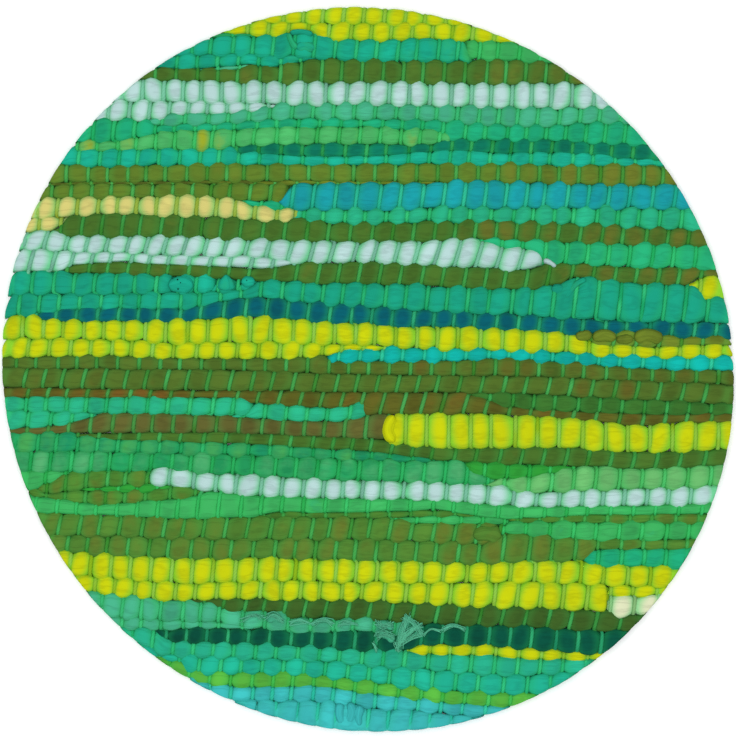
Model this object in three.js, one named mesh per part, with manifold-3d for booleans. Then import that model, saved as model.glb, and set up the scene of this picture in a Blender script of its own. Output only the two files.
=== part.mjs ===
// A round piece of plain-woven rag rug, lying flat: one sheet of cloth whose face is ribbed by its picks,
// the rows in which the rag strips lie. Millimetres, +Z up, origin at the middle of the underside.
// Picks run along X, and the warp runs along Y.
import * as THREE from "three";
import { mergeVertices } from "three/addons/utils/BufferGeometryUtils.js";
import Module from "manifold-3d";

// Driving dimensions
const rugWidth = 321; // along the picks
const rugLength = 318; // along the warp
const outlineSkew = -0.0316; // Y shift of the slightly oval outline for each millimetre along X
const grooveHeight = 4.8; // thickness left where two picks meet
const crownBase = 6.9; // height of a pick's crown if it had no width
const crownRise = 0.17; // and how much a wider, fuller rag strip adds for each millimetre of width
const outlineSides = 144;
const leastWidth = 1.6; // of a pick that dies out between its neighbours
const ribFacets = 5; // facets across one pick
const sectionGap = 25; // distance between the cross-sections that the surface runs through
const trimAllowance = 2; // how far the woven slab reaches past the outline and the underside before it is cut

// Where each pick ends towards -Y, as its distance from the X axis at these places along X.
// The picks are listed from the +Y side, and each starts where the one before it ends.
const places = [-140, -70, 0, 70, 140];
const pickEdges = [
  // x = -140,   -70,      0,     70,    140
  { cloth: "lime", edge: [154, 152.5, 151.8, 149.5, 147] },
  { cloth: "lime", edge: [149, 147, 144.3, 141.5, 138] },
  { cloth: "teal", edge: [140, 137.8, 135.7, 134.5, 131] },
  { cloth: "olive", edge: [127, 125.8, 126, 124.7, 121] },
  { cloth: "white", edge: [118, 117, 116.9, 114.5, 112.5] },
  { cloth: "mint", edge: [109.5, 107, 110, 106.5, 107.5] },
  { cloth: "emerald and sage", edge: [96.5, 98, 98.8, 100.3, 98] },
  { cloth: "dark teal and turquoise", edge: [90.3, 90, 90, 89.7, 88.5] },
  { cloth: "olive", edge: [82, 82.3, 82, 81.7, 80.5] },
  { cloth: "olive, then sea blue", edge: [75, 75.7, 69.6, 71.2, 70.8] },
  { cloth: "straw, then emerald", edge: [68, 67, 64.2, 64.7, 62.5] },
  { cloth: "moss", edge: [60, 57.3, 55.7, 56.8, 54.8] },
  { cloth: "white, then emerald", edge: [51.3, 50, 47, 44.3, 44.3] },
  { cloth: "white and moss", edge: [43.3, 41, 37, 35.7, 35.5] },
  { cloth: "teal", edge: [33, 33, 27.3, 24.3, 20.3] },
  { cloth: "teal and navy", edge: [22.5, 21.8, 19.3, 17.3, 14.8] },
  { cloth: "lime", edge: [13.3, 12.7, 9.8, 8.3, 5] },
  { cloth: "lime, then turquoise", edge: [5.5, 4.8, 3, 3, -1] },
  { cloth: "olive", edge: [-0.8, -1, -2.7, -3, -6.5] },
  { cloth: "olive", edge: [-7.8, -9.5, -10.7, -11.3, -14.5] },
  { cloth: "brown and emerald", edge: [-19.3, -20, -20.5, -20.7, -23.7] },
  { cloth: "brown, then lime", edge: [-28.4, -28.3, -30.5, -34.7, -36] },
  { cloth: "dark olive", edge: [-29.5, -33, -37, -42, -43] },
  { cloth: "leaf", edge: [-36.8, -38, -42, -46.5, -44.5] },
  { cloth: "leaf, then pale green", edge: [-44.8, -46.3, -49, -53.5, -52.5] },
  { cloth: "leaf, then white", edge: [-54, -54, -57, -60, -59.7] },
  { cloth: "green", edge: [-63.3, -66, -63.7, -66, -64.3] },
  { cloth: "moss, then green", edge: [-73.3, -75, -76, -75, -75.7] },
  { cloth: "olive, then teal", edge: [-80.5, -83, -84.3, -84.5, -88] },
  { cloth: "lime", edge: [-92, -93.6, -94.3, -94.2, -96.5] },
  { cloth: "lime, then off-white", edge: [-97.5, -100.8, -101.8, -104, -109] },
  { cloth: "mint, then dark olive", edge: [-107, -108, -110.5, -113.3, -119] },
  { cloth: "mint and bottle green", edge: [-116, -119.8, -123.8, -122.8, -130] },
  { cloth: "teal", edge: [-124, -127, -130.5, -135, -139] },
  { cloth: "teal", edge: [-130, -133.8, -137.7, -143.3, -148] },
  { cloth: "grass", edge: [-137, -139, -143, -149, -154] },
  { cloth: "aqua", edge: [-144, -145.7, -150, -154, -158] },
];

// The height of a smooth line through the values at the places, carried on straight past the ends.
function smoothAt(values, x) {
  const gap = places[1] - places[0];
  const last = values.length - 1;
  const slope = (i) =>
    (values[Math.min(i + 1, last)] - values[Math.max(i - 1, 0)]) /
    (places[Math.min(i + 1, last)] - places[Math.max(i - 1, 0)]);
  if (x <= places[0]) return values[0] + slope(0) * (x - places[0]);
  if (x >= places[last]) return values[last] + slope(last) * (x - places[last]);
  const i = Math.min(last - 1, Math.floor((x - places[0]) / gap));
  const t = (x - places[i]) / gap;
  const rise = values[i + 1] - values[i];
  const start = slope(i) * gap;
  const end = slope(i + 1) * gap;
  return values[i] + t * (start + t * (3 * rise - 2 * start - end + t * (start + end - 2 * rise)));
}

// The ribbed top of the woven slab at x, from the +Y side to the -Y side: one round rib for each pick.
function ribs(x) {
  const side = rugLength / 2 + trimAllowance;
  const edges = [side];
  pickEdges.forEach(({ edge }) => {
    edges.push(Math.min(smoothAt(edge, x), edges[edges.length - 1] - leastWidth));
  });
  edges.push(-side - leastWidth);
  const points = [new THREE.Vector2(side, grooveHeight)];
  for (let p = 1; p < edges.length; p += 1) {
    const width = edges[p - 1] - edges[p];
    const middle = (edges[p - 1] + edges[p]) / 2;
    const crown = crownBase + crownRise * width - grooveHeight;
    for (let i = 1; i <= ribFacets; i += 1) {
      const turn = (Math.PI * i) / ribFacets;
      const y = middle + (width / 2) * Math.cos(turn);
      points.push(new THREE.Vector2(y, grooveHeight + crown * Math.sin(turn)));
    }
  }
  return points;
}

// The slab as one closed surface: cross-sections along X, each with its ribs above and a flat below.
function wovenSlab() {
  const reach = rugWidth / 2 + trimAllowance;
  const steps = Math.round((2 * reach) / sectionGap);
  const stations = Array.from({ length: steps + 1 }, (_, i) => -reach + (2 * reach * i) / steps);
  const tops = stations.map(ribs);
  const across = tops[0].length;
  const around = 2 * across;
  const positions = tops.flatMap((top, s) => [
    ...top.flatMap((p) => [stations[s], p.x, p.y]),
    ...[...top].reverse().flatMap((p) => [stations[s], p.x, -trimAllowance]),
  ]);
  const faces = [];
  const quad = (a, b, c, d) => faces.push(a, b, c, a, c, d);
  for (let s = 0; s < steps; s += 1) {
    for (let i = 0; i < around; i += 1) {
      const j = (i + 1) % around;
      quad(s * around + i, s * around + j, (s + 1) * around + j, (s + 1) * around + i);
    }
  }
  for (let i = 0; i < across - 1; i += 1) {
    const below = around - 1 - i;
    const far = steps * around;
    quad(i, below, below - 1, i + 1);
    quad(far + i, far + i + 1, far + below - 1, far + below);
  }
  const slab = new THREE.BufferGeometry();
  slab.setAttribute("position", new THREE.Float32BufferAttribute(positions, 3));
  slab.setIndex(faces);
  return slab;
}

// The outline that the piece is cut to, as a plug that stands on the underside.
function outlinePlug() {
  const halfWidth = rugWidth / 2;
  const lean = outlineSkew * halfWidth;
  const rise = Math.sqrt((rugLength / 2) ** 2 - lean ** 2);
  const corners = Array.from({ length: outlineSides }, (_, i) => {
    const turn = (2 * Math.PI * i) / outlineSides;
    return new THREE.Vector2(halfWidth * Math.cos(turn), lean * Math.cos(turn) + rise * Math.sin(turn));
  });
  return new THREE.ExtrudeGeometry(new THREE.Shape(corners), {
    depth: 2 * crownBase,
    bevelEnabled: false,
  });
}

const wasm = await Module();
wasm.setup();

function solidFrom(geometry) {
  const bare = geometry.clone();
  bare.deleteAttribute("normal");
  bare.deleteAttribute("uv");
  const merged = mergeVertices(bare, 1e-4);
  const mesh = new wasm.Mesh({
    numProp: 3,
    vertProperties: merged.attributes.position.array,
    triVerts: new Uint32Array(merged.index.array),
  });
  return new wasm.Manifold(mesh);
}

function geometryFrom(solid) {
  const mesh = solid.getMesh();
  const geometry = new THREE.BufferGeometry();
  geometry.setAttribute("position", new THREE.BufferAttribute(mesh.vertProperties, 3));
  geometry.setIndex(new THREE.BufferAttribute(mesh.triVerts, 1));
  geometry.computeVertexNormals();
  return geometry;
}

const cotton = new THREE.MeshStandardMaterial({ color: 0x2fa878, roughness: 0.9, metalness: 0 });
const rug = new THREE.Mesh(
  geometryFrom(solidFrom(wovenSlab()).intersect(solidFrom(outlinePlug()))),
  cotton,
);
rug.name = "rug";

const group = new THREE.Group();
group.add(rug);
export default group;
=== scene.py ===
import bpy
import numpy as np
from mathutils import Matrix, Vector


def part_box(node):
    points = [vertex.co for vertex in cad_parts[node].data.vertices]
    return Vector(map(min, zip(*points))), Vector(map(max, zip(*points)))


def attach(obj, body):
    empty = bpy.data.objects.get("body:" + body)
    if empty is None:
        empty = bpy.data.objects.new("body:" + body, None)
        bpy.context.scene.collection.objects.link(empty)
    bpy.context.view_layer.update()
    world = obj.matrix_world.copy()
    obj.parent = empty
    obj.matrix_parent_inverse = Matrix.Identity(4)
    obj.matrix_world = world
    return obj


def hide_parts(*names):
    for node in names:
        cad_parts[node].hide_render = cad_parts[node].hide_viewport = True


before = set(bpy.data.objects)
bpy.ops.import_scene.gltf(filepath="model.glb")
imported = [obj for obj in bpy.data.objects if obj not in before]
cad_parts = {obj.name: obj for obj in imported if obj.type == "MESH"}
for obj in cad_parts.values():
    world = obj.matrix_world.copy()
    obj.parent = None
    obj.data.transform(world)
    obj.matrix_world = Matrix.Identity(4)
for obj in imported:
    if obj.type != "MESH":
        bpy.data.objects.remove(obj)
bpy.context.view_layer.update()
rugLow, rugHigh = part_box("rug")
mm = 0.001
halfWidth = (rugHigh[0] - rugLow[0]) / 2 / mm   # of the cut outline, along the strips
halfLength = (rugHigh[1] - rugLow[1]) / 2 / mm  # and along the warp
outlineSkew = -0.0316                           # Y shift of the slightly oval outline for each mm along X
outlineRise = float(np.sqrt(halfLength ** 2 - (outlineSkew * halfWidth) ** 2))
seeds = {"wander": 41, "rags": 100, "curls": 500, "frays": 77, "cords": 900}
luck = np.random.default_rng(seeds["wander"])
flush = 0.9998                                  # of the outline: cut edges end a hair inside it

# how the cloth is woven, in mm
weave = {
    "cordRadius": 0.92,
    "cordPitch": 9.31,        # between cords of one shed, at the middle
    "pitchSlack": 0.0022,     # how the pitch closes up for each mm towards +Y
    "sideSpread": 0.0144,     # how it opens to the right, cord by cord
    "spreadSlack": 0.00014,   # and how that closes up for each mm towards +Y
    "cordWander": 0.3,        # how unevenly the cords cross a strip
    "wanderMost": 0.9,
    "crossReach": 6.0,        # how far past its end a strip still says where the cords lie
    "edgeSoft": 3.0,          # reach over which a strip's lower edge is smoothed,
    "edgeSettle": 3.5,        # and its upper edge, where it settles against what lies above it
    "edgeReach": 1.0,         # how far to each side the highest edge above is looked for
    "leastWidth": 1.0,
    "leastShown": 0.2,        # width below which a strip counts as hidden
    "crownBase": 6.7,         # height of a strip's crown if it had no width
    "crownRise": 0.17,        # and what each mm of width adds
    "crownMost": 9.2,
    "cordRoom": 0.9,          # share of a bead's length that the cord leaves free
    "roundness": 2.05,        # 2 is a round bead, more is a squarer one
    "fullness": 0.76,         # of a strip's section, 1 is an oval and less is squarer
    "topNip": 1.8,            # how far a cord presses the strip down
    "lowNip": 2.6,            # and up, on the underside
    "doming": 1.5,            # 1 is a full bead, more slopes gently down to the cords
    "press": 0.95,            # how far a bead bulges past its row's edge,
    "pressShare": 0.2,        # or this share of the strip's width, where that is less
    "draw": 1.25,             # how far a cord draws the edge in,
    "drawShare": 0.3,         # or this share of the half width
    "lean": 0.12,             # usual slant of the cords, mm along X for each mm along Y
    "edgeGreenShade": 0.78,        # how much of the warp's green and painted green shade reaches a row's edge, next to the beads' ends
    "taper": 6.0,             # usual length of a strip's rounded end
    "tipHeight": 0.25,        # share of the thickness that the tip has
    "tuck": 7.0,              # how far a strip's end runs on under its neighbours,
    "tuckShare": 0.8,         # how much of its width is left there
    "tuckDip": 1.1,           # and how far down it dips
    "tuckFarthest": 0.96,     # of the half width
    "cutSpare": 2.0,          # how far past the outline a strip is laid before it is cut
    "cutFull": 4.0,           # and how far in from the cut the cloth has sprung back to its full width
    "floorGap": 0.06,
    "leanSoon": 1.5,          # how soon after a rounded end the cords' slant sets in
    "leastHalf": 0.3,         # half widths that shares are taken of are no less than these
    "leastFoldHalf": 0.5,
    "ringGap": 0.02,
    "edgeMost": 1.1,          # how deep between the beads a row's edge counts for the warp's green and painted green shade, at the most,
    "sunkMost": 1.3,          # and how deep any place does
}
# how uneven a strip is where its rumple is 1, in mm or as a share
rumpled = {
    "usual": 0.7,                           # rumple of a strip that names none
    "sway": 0.22, "swayLength": 11,         # sideways
    "drift": 0.12, "driftLength": 14,       # of the crown, along the strip,
    "jump": 0.22,                           # and from bead to bead
    "lowJump": 0.12,
    "pressJump": 0.4,                       # share by which the beads' bulges differ
    "skew": 0.2,                            # how unevenly a bead lies between its cords
    "lean": 0.13,
    "tint": 0.3,                            # how much more or less of the second colour a bead may show
    "most": 1.8,                            # times the usual difference
}
# soft folds that run along a strip
softFolds = {
    "count": 2,
    "place": 0.55,                          # farthest from the middle, as a share of the half width
    "wander": 0.16, "wanderLength": 23,
    "depth": 0.2, "rumpleDepth": 0.12,
    "least": 0.3, "rest": 0.7,              # how a fold's depth comes and goes
    "fadeFrom": 0.4, "fadeMost": 1.3, "fadeLength": 17,
    "width": 0.16,
}
# where a strip's surface is drawn, as shares
overTop = (1, 0.95, 0.82, 0.64, 0.43, 0.22, 0, -0.22, -0.43, -0.64, -0.82, -0.95, -1)  # of its half width
underneath = (-0.85, -0.45, 0, 0.45, 0.85)
beadCuts = (0.0, 0.05, 0.08, 0.14, 0.23, 0.35, 0.5, 0.65, 0.77, 0.86, 0.92, 0.95)      # of a bead's length
endCuts = (0.0, 0.03, 0.12, 0.28, 0.5, 0.75)                                           # of a rounded end
sideCuts = (0, 0.08, 0.2, 0.35, 0.5, 0.65, 0.8, 0.92, 1)                               # of a cut side
edgeStep = 0.5                                           # between the x places where the rows' edges are kept
farSide = 165                                            # x beyond the rug, where those places end
beyond = 170                                             # start or end of a strip that is cut by the outline
across = np.arange(-farSide, farSide + 0.01, edgeStep)
stripEnds = (("start", 1, "startTaper"), ("end", -1, "endTaper"))


def readings(text):
    pairs = [pair.split(":") for pair in text.split()]
    return np.array([[float(x), float(y)] for x, y in pairs]).T


def softened(values, reach):
    size = int(reach / edgeStep) * 2 + 1
    bell = np.hanning(size + 2)[1:-1]
    padded = np.pad(values, size // 2, mode="edge")
    return np.convolve(padded, bell / bell.sum(), mode="valid")


def highest(values, reach):
    size = int(reach / edgeStep)
    padded = np.pad(values, size, mode="edge")
    return np.max([padded[i:i + len(values)] for i in range(2 * size + 1)], axis=0)


def outlineAt(x):
    # its lower and its upper side
    swell = outlineRise * np.sqrt(np.clip(1 - (np.asarray(x) / halfWidth) ** 2, 0, 1))
    return outlineSkew * x - swell, outlineSkew * x + swell


def outlineSide(y, side):
    lead = np.arctan2(outlineSkew * halfWidth, outlineRise)
    return side * halfWidth * np.cos(np.arcsin(np.clip(y / halfLength, -1, 1)) - side * lead)


def trimmed(x, y):
    # the cloth is cut flush, so whatever would stand past the outline ends on it
    reach = np.sqrt((x / halfWidth) ** 2 + ((y - outlineSkew * x) / outlineRise) ** 2)
    scale = np.minimum(1, flush / np.maximum(reach, 0.01))
    return x * scale, y * scale


# The strips, from the +Y side. shed: which cords show on it. cord: the x of one that shows.
# lower: its lower edge as x:y. Its upper edge is what lies above it.
# drift: how far its cords have slipped, as x:dx.
# tintAt: how much of its cloth's second colour shows, as x:share.
strips = []


def rag(cloth, shed, cord, lower, start=-beyond, end=beyond, **look):
    strips.append(dict(cloth=cloth, shed=shed, cord=cord, lower=lower, start=start, end=end, **look))


# slips that strips of one row share
whiteRowSlip = (
    "-141:-1.5 -133:-2.5 -120:-1.7 -98:-2.6 -88:-1.4 -76:1.1 -58:0.8 -47:3 -28:3 -20:2.2 -2:0.7 6:0 "
    "40:-0.7 52:-2 64:0 94:0.5 122:-0.8 142:-1.6"
)
fernRowSlip = (
    "-130:0 -87:0.4 -60:0.8 -50:1.3 -40:1.8 -24:0.3 -5:-0.4 4:-1.2 14:-1.9 33:-3.3 60:-3.6 71:-1.1 "
    "91:-1.3 112:-0.4 132:-1.3"
)
mintRowSlip = "-109:0.9 -91:0.5 -82:1.3 -73:-0.3 -64:-1.4 -55:-0.2 -36:1.2 -18:2.2 1:1.7 11:0.9"
mossRowSlip = "-110:-0.9 -90:-1 -70:0.8 -50:2 -30:2.6 -10:2.1 10:-0.4 50:-1 70:-0.2 130:0 150:2"
deepRowSlip = "-150:3 -130:2.6 -110:2.1 -90:1.5 -30:0.4 10:0.2 30:-0.5 50:-0.8 70:-1.3 90:-0.5 130:0"

rag("lime", 0, -1.7, "-45:152.5 -37:152.2 0:151.8 40:151.3 55:150.8")
rag("lime", 1, 1.4,
    "-70:148.2 -60:147.6 -47:146.8 -39:146 -33:148.5 -26:148.3 -20:145 0:144.4 30:145.4 50:144 "
    "60:143.5 75:142.5")
rag("sea", 0, 3.9, "-90:146 -75:145.5 -60:146 -50:146.3 -45:146.5", end=-44, endTaper=6)
rag("leaf", 0, 3.9, "44:137 47:135.4 60:135.5 75:135 95:133.5", start=43, startTaper=3)
rag("teal", 0, 3.9,
    "-95:137.4 -65:138.1 -55:138.1 -48:137.4 -39:136.6 -33:137.4 -22:136 0:135.5 12:135.2 30:135 "
    "50:135.2", end=46, endTaper=3, tintAt="6:-0.2 16:0.6 28:0.9 40:1.3")
rag("teal", 1, 6.5, "-100:133 -80:132 -73:132.6 -60:133 -52:134 -47:132.8 -40:133.5 -30:135 -22:136",
    end=-22, endTaper=8)
rag("mint", 1, 6.5, "-75:131.6 -60:131.4 -51:132.6", start=-75, end=-51)
rag("bark", 1, 6.5, "-100:127.4 -60:126 0:126 60:125 90:125.5 100:125", lean=0.08, tintAt="40:0.2 65:1.2")
rag("white", 0, -0.3,
    "-115:118 -90:117.5 -50:117 -33:116 -5:117 15:116 45:115.5 75:114.5 105:115 115:114.5", end=118,
    lean=0.05, drift="-90:1.1 -70:-0.5 -40:0 60:0.5 90:-0.6")
rag("white", 1, 2.8, "-125:109.5 -108:109.5 -93:109.5 -85:112.5 -70:112 -60:112.5 -50:113.5 -42:115",
    end=-40, endTaper=9, drift="-110:1.6 -90:0.6 -70:-0.7 -50:-1.2")
rag("mint", 1, 2.7, "-97:107.5 -90:107 -60:108 -40:110 0:110 30:109.5 45:107.5 75:106.5 105:108 120:108",
    start=-97, drift="-95:-2.8 -80:-1.5 -70:-0.7 -30:0 10:0.6 50:0.6 70:-0.8 90:0")
rag("emerald", 0, -3.4,
    "-130:100 -110:100 -100:102 -90:104 -60:105 -45:106 0:106.5 31:104.7 36:101 75:100.5 105:99 125:98.3",
    drift="-115:1 -90:0 -60:-0.5 -30:0 10:0.6 50:0.8 70:0 90:-0.8 115:-1.6")
rag("sage", 0, -4, "-130:95.6 -100:96.5 -66:96.5 -57:98 -30:99 0:99 28:98.3 36:100", start=-129, end=36.5,
    endTaper=1.5,
    tintAt="-130:0.2 -121:1 -112:0 -103:0.9 -90:0 -78:0.2 -73:0.9 -66:0.8 -58:0 -12:0 -5:1 0:0.2 10:0",
    drift="-115:3 -90:1.6 -70:-0.5 -30:0 10:0.5 30:-0.8")
rag("deepTeal", 1, -0.7, "-60:95.3 -57:95 -15:93.2 0:93.5 28:95.5 40:96 60:94.5 85:95 105:93.5 130:91.3",
    start=-60, drift="-55:-2.5 -30:-1.3 -10:0 15:0.3 30:1.6 50:0.9 70:0 110:-1.5")
rag("turquoise", 1, -1.1, "-135:90 -120:89 -60:90 0:90 60:90 135:89.3",
    drift="-115:1 -90:0.4 -65:-0.6 -50:-1.2 -30:0 40:0.6 70:-0.6 110:0")
rag("olive", 0, 2.4, "-142:82 -60:82.5 -30:83 0:82.5 60:82 80:81.6 105:81 142:80.8", lean=0.05,
    tintAt="50:0.2 80:1.5",
    drift="-135:1.5 -110:1.4 -90:0 -70:-0.4 -50:-1.5 -30:-1.6 -10:0 10:0.9 30:0.6 60:0 90:-0.9 110:-0.5")
rag("ochre", 1, 5.1, "-150:80.9 -42:81.3 0:81.1 30:81.5", start=-150, end=33, tintAt="-60:1.6 -45:0.4")
rag("olive", 1, 5.4, "-148:75 -100:75.5 -80:76 -60:75 -50:74 -40:73.5 -36:74", end=-35, endTaper=5,
    drift="-135:1.2 -110:0 -90:0 -70:-0.9 -50:-3")
rag("blue", 1, 5.1, "-41:75 -38:72 -34:70.5 -30:70.5 0:69.6 30:71 90:71 135:70.5 148:70", start=-40,
    startTaper=3, lean=0.14, drift="-35:-1.8 -10:-0.8 10:0 40:0.9 70:0 90:-0.5 115:-0.4 130:0.7")
rag("emerald", 0, -1, "-60:74.8 -56:73.5 -50:72 -44:71 -36:69", start=-60, end=-34)
rag("butter", 0, -1.7, "-152:66.5 -139:66.5 -115:68 -96:67.5 -62:66.5 -46:65 -37:64.5 -31:66", end=-31.5,
    endTaper=5, drift="-135:1.6 -90:0 -70:-1 -50:-2")
rag("jade", 0, -1, "-30:65.8 -24:65 -5:64 31:65 68:64.5 105:63 133:61.5 150:60.6", start=-33, startTaper=4,
    bulge=1.4)
rag("butter", 1, 1.3, "-156:60.5 -140:60.8 -135:62.5", end=-134)
rag("moss", 1, 1.3, "-140:59.2 -130:58 -85:58.5 -55:57 -20:56 20:56 53:57.5 90:55.5 152:54.3", start=-139,
    lean=0.15, tintAt="-140:0.2 -60:0.1 0:0.3 30:0.55 60:0.6 110:0.75 150:0.9",
    drift="-135:0.8 -110:0 -90:-1 -70:-1.5 -50:-2.5 -30:-0.7 -10:0 10:0.5 90:-0.5 130:0.6")
rag("green", 0, 3.8,
    "46:57.3 50:55.5 53:54 60:53.3 70:52.6 75.5:50.6 78:46.4 82:45.4 90:46.2 111:45 155:43.5", start=47,
    startTaper=8)
rag("white", 0, 2.8, "-158:53 -127:51.5 -84:50 -50:49.5 -28:46.5 0:47 34:45 53:44.5 66:43 76:45", end=77,
    endTaper=3.4, lean=0.3,
    drift="-130:0.9 -110:1.3 -90:0 -70:-1 -50:-1.4 -30:-0.6 -10:1.2 10:0.8 30:-0.2 66:-0.6 74:1.6")
rag("white", 0, 4.8, "-158:43 -134:43 -130:46 -107:47 -90:46 -65:45 -45:44 -29:46.3", end=-29, endTaper=8,
    lean=0.3, bulge=0.4, drift="-150:2 -130:1.8 -110:0.8 -90:-0.6 -50:-0.7")
rag("moss", 1, 5.4,
    "-134:42.2 -90:41.5 -70:40.5 -45:39 -20:37.5 0:37.5 46:35.5 75:35 80:36.5 85:37.5 90:40.5 95:40.5 "
    "104:38.5 141:36.5 146:40.3 158:40.5", start=-134, lean=0.2, bulge=0.6, tintAt="80:0.2 95:1.1",
    drift="-115:-1 -90:-1.7 -50:-2.3 -35:0 30:0 60:-0.5 75:-0.4 90:0.7 130:0.7")
rag("lime", 1, 5.4, "141:34 147:31.7 158:31", start=141, startTaper=4)
rag("seaDeep", 0, -1.7, "-160:33 -110:33 -88:33.2", end=-86, rumple=1.5)
rag("turquoise", 0, -1.7, "-90:33.2 -70:33.6", start=-88, end=-67, rumple=1.6)
rag("seaDeep", 0, -1.7, "-70:33.6 -57:34.2", start=-69, end=-56, rumple=1.3)
rag("turquoise", 0, -1.7, "-58:34.4 -48:36", start=-58, end=-48, startTaper=4, endTaper=5)
rag("seaDeep", 0, -1.7,
    "-160:22.5 -143:25 -120:27 -80:26.3 -65:29.8 -50:31.5 -30:29.5 0:27 25:25.5 60:24 90:22 125:20.5 "
    "160:20.5", rumple=1.3, drift=deepRowSlip)
rag("navy", 1, 1,
    "-148:22 -143:21.5 -90:21 -60:22.5 -50:23 -15:20.5 15:18.5 45:18.5 90:15.5 118:17 137:14 162:13.5",
    start=-147, lean=0.15,
    drift="-130:-1.8 -110:-1 -90:-1.8 -70:-0.4 -30:1.1 10:0.5 50:-0.6 90:-0.7 130:0.9")
rag("ochre", 0, 3.2, "87:15.3 96:13 102:10.2 131:9.5 151:10.5 162:10.5", start=88, rumple=1.3,
    drift="100:1.5 130:2.2 150:2.4")
rag("lime", 0, 3.2,
    "-160:13.5 -110:13 -83:11 -46:12 -18:10.5 -8:10.8 5:10.4 15:9 45:8.5 82:7.5 102:6 131:5 162:5.5",
    lean=0.05, drift="-150:-0.5 -110:-1.1 -90:-0.2 -30:0.8 10:0 70:-0.8 90:-0.7 110:0 150:1.1")
rag("lime", 1, 6.4, "-162:5 -117:6 -81:4.5 -34:4.5 -18:6 -10:8 0:8.3 12:8.6", end=12, endTaper=8,
    drift="-150:-1 -110:-0.6 -90:0 -70:0.8 -30:1.1")
rag("aqua", 1, 6.6, "-18:3.3 -15:3 30:3.5 58:4.5 96:2 135:-0.5 162:-0.5", start=-18, startTaper=4,
    bulge=1.3, drift="10:-0.4 70:-0.8 90:-0.2 130:0.8 150:1.5")
rag("oliveDeep", 0, 0.4, "-162:0.5 -60:-0.5 -30:-1.5 0:-2.5 60:-3 115:-5 162:-7", lean=0.05, bulge=0.5,
    tintAt="-60:0.1 -15:0.4 0:0.75 90:0.7",
    drift="-150:-0.7 -110:-1 -90:0 -30:1 -10:0.8 10:-0.2 70:-0.8 90:0 150:0.9")
rag("oliveDeep", 1, 3.6, "-162:-8 -100:-9 -30:-10 60:-10.5 90:-12 120:-13.5 162:-15.5", lean=0.25,
    bulge=0.5, tintAt="80:0.3 100:1.1 110:0.8 125:0.3",
    drift="-150:-0.5 -130:-1.2 -90:-0.2 -30:0.9 -10:0.9 10:0.3 30:-0.8 70:-0.3 150:0.8")
rag("fern", 0, -3, "42:-11.5 52:-14 60:-16.5 90:-18.5 120:-20 162:-19.5", start=43, startTaper=9)
rag("brown", 0, -4,
    "-162:-12.5 -60:-12.5 -50:-15 -25:-17 -9:-17 -6:-14.8 -4:-14.5 -1.5:-17 0:-20 30:-19.5 60:-20 "
    "90:-22 120:-25 137:-23.5 162:-23.5", lean=0.3, bulge=0.5, tintAt="-90:0.9 -60:0.3",
    drift="-150:0 -130:-0.9 -90:0.2 -70:1.4 -50:2.4 -30:2.6 -10:2 10:0.8 30:-0.3 110:-0.7 150:0.4")
rag("jade", 1, 3.9, "-162:-18.5 -100:-19.5 -60:-20.5 -51:-18.5", end=-50, endTaper=4, drift="-90:0 -70:1.3")
rag("jade", 1, 1.3, "-62:-21 -29:-23 -13:-23 1:-20.5", start=-62, end=0.5, startTaper=7, endTaper=3)
rag("jade", 1, -1.9, "-158:-26 -135:-25 -128:-23 -119:-21", end=-119, endTaper=9,
    drift="-150:-2.3 -130:-0.6")
rag("umber", 1, -1.9, "-162:-28.5 -118:-28 -60:-28 -23:-29.5 8:-31", end=9.5, endTaper=2, bulge=0.5,
    drift="-150:-2.4 -130:-2 -110:0 -90:-0.7 -70:0 -50:1.5 -30:1.9 -10:1.3")
rag("lime", 1, -1.7, "6:-31 10:-32.6 21:-34 31:-35 90:-34.5 109:-36.5 128:-36.5 162:-35", start=6.8,
    startTaper=3, lean=0.02, drift="30:-0.7 50:-0.9 70:0 150:0.9")
rag("moss", 0, 1.1,
    "-130:-29.6 -90:-32 -50:-33 -30:-34.5 0:-36 20:-38.5 30:-40 60:-42 100:-43 120:-44 162:-42",
    start=-130, lean=0.25, bulge=0.5, drift=mossRowSlip)
rag("seaLeaf", 0, 1.1, "-160:-36 -90:-37 -60:-38 0:-40 20:-41 30:-41.7", end=32,
    tintAt="-158:0.8 -150:1.2 -142:0.8 -118:0.8 -112:1.2 -105:0.8 0:0.85", drift=mossRowSlip)
rag("clover", 1, 3.9, "42:-43 48:-47 60:-48.2 70:-48 85:-45 92:-44", start=42, end=92, endTaper=7)
rag("sea", 1, 5.7, "-157:-45 -97:-45 -92:-43.6 -88:-43.6 -71:-46.2 -43:-47.5 -7:-49 29:-50 50:-51 58:-50",
    end=57, endTaper=10, tintAt="-160:0.85")
rag("pale", 1, 3.9, "50:-51.5 60:-52 68:-54.5 105:-53 137:-52 160:-51", start=50, startTaper=8,
    drift="60:-1 90:0 150:0.6")
rag("white", 0, -3.1,
    "-97:-50.5 -91:-50.5 -71:-53.5 -52:-55.5 -24:-56.5 29:-57.5 57:-59.5 69:-60.5 148:-59.5 160:-59",
    start=-96.5, startTaper=2, drift=whiteRowSlip)
rag("leaf", 0, -3.1, "-155:-54 -150:-53.5 -140:-50 -131:-46", end=-131, endTaper=6, drift=whiteRowSlip)
rag("ochreLeaf", 0, -3.1, "-145:-54 -140:-55 -120:-52 -96:-51", start=-146, end=-95, drift=whiteRowSlip,
    tintAt="-140:0.9 -125:0.6 -100:0.4")
rag("clover", 1, -0.2, "-127:-53.6 -110:-54 -100:-54.5 -88:-52.5", start=-127, end=-87)
rag("ochreLeaf", 0, -3.1, "-150:-56 -140:-57 -117:-59.8 -100:-58.5 -82:-57 -74:-55.5", start=-150, end=-73,
    endTaper=7, drift=whiteRowSlip, tintAt="-130:0.3 -112:0.6 -90:0.1")
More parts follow.
